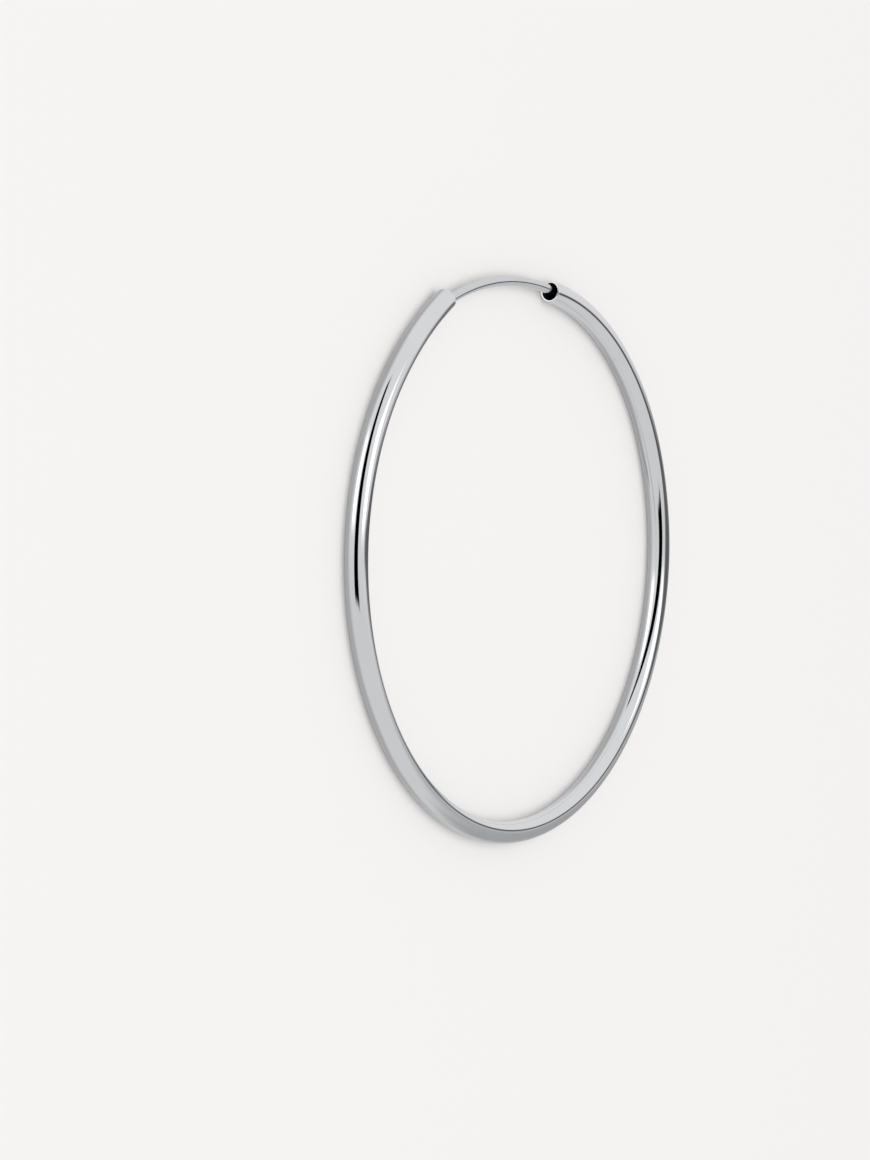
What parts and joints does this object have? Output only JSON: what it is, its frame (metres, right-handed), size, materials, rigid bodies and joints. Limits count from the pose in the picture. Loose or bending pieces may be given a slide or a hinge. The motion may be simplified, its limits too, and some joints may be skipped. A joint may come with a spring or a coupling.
{
  "type": "hoop earring",
  "caption": "Endless hoop earring: a thin polished tube bent into an open hoop, with a fine ear wire fixed in one end of the tube that slides into the open mouth of the other end.",
  "frame": {"origin": "on the ground, in the middle of the area that the lying hoop covers", "axes": "+Z along the hoop's axis and up from the ground, +Y towards the gap that the ear wire closes, +X to the side of the open mouth"},
  "size_m": [0.05, 0.0488, 0.0019],
  "materials": {
    "polished_silver": "mirror polished, with fine lines along the tube",
    "wire_silver": "polished drawn wire"
  },
  "bodies": {
    "root": {"hoop_tube": "polished_silver", "ear_wire": "wire_silver"}
  },
  "joints": []
}
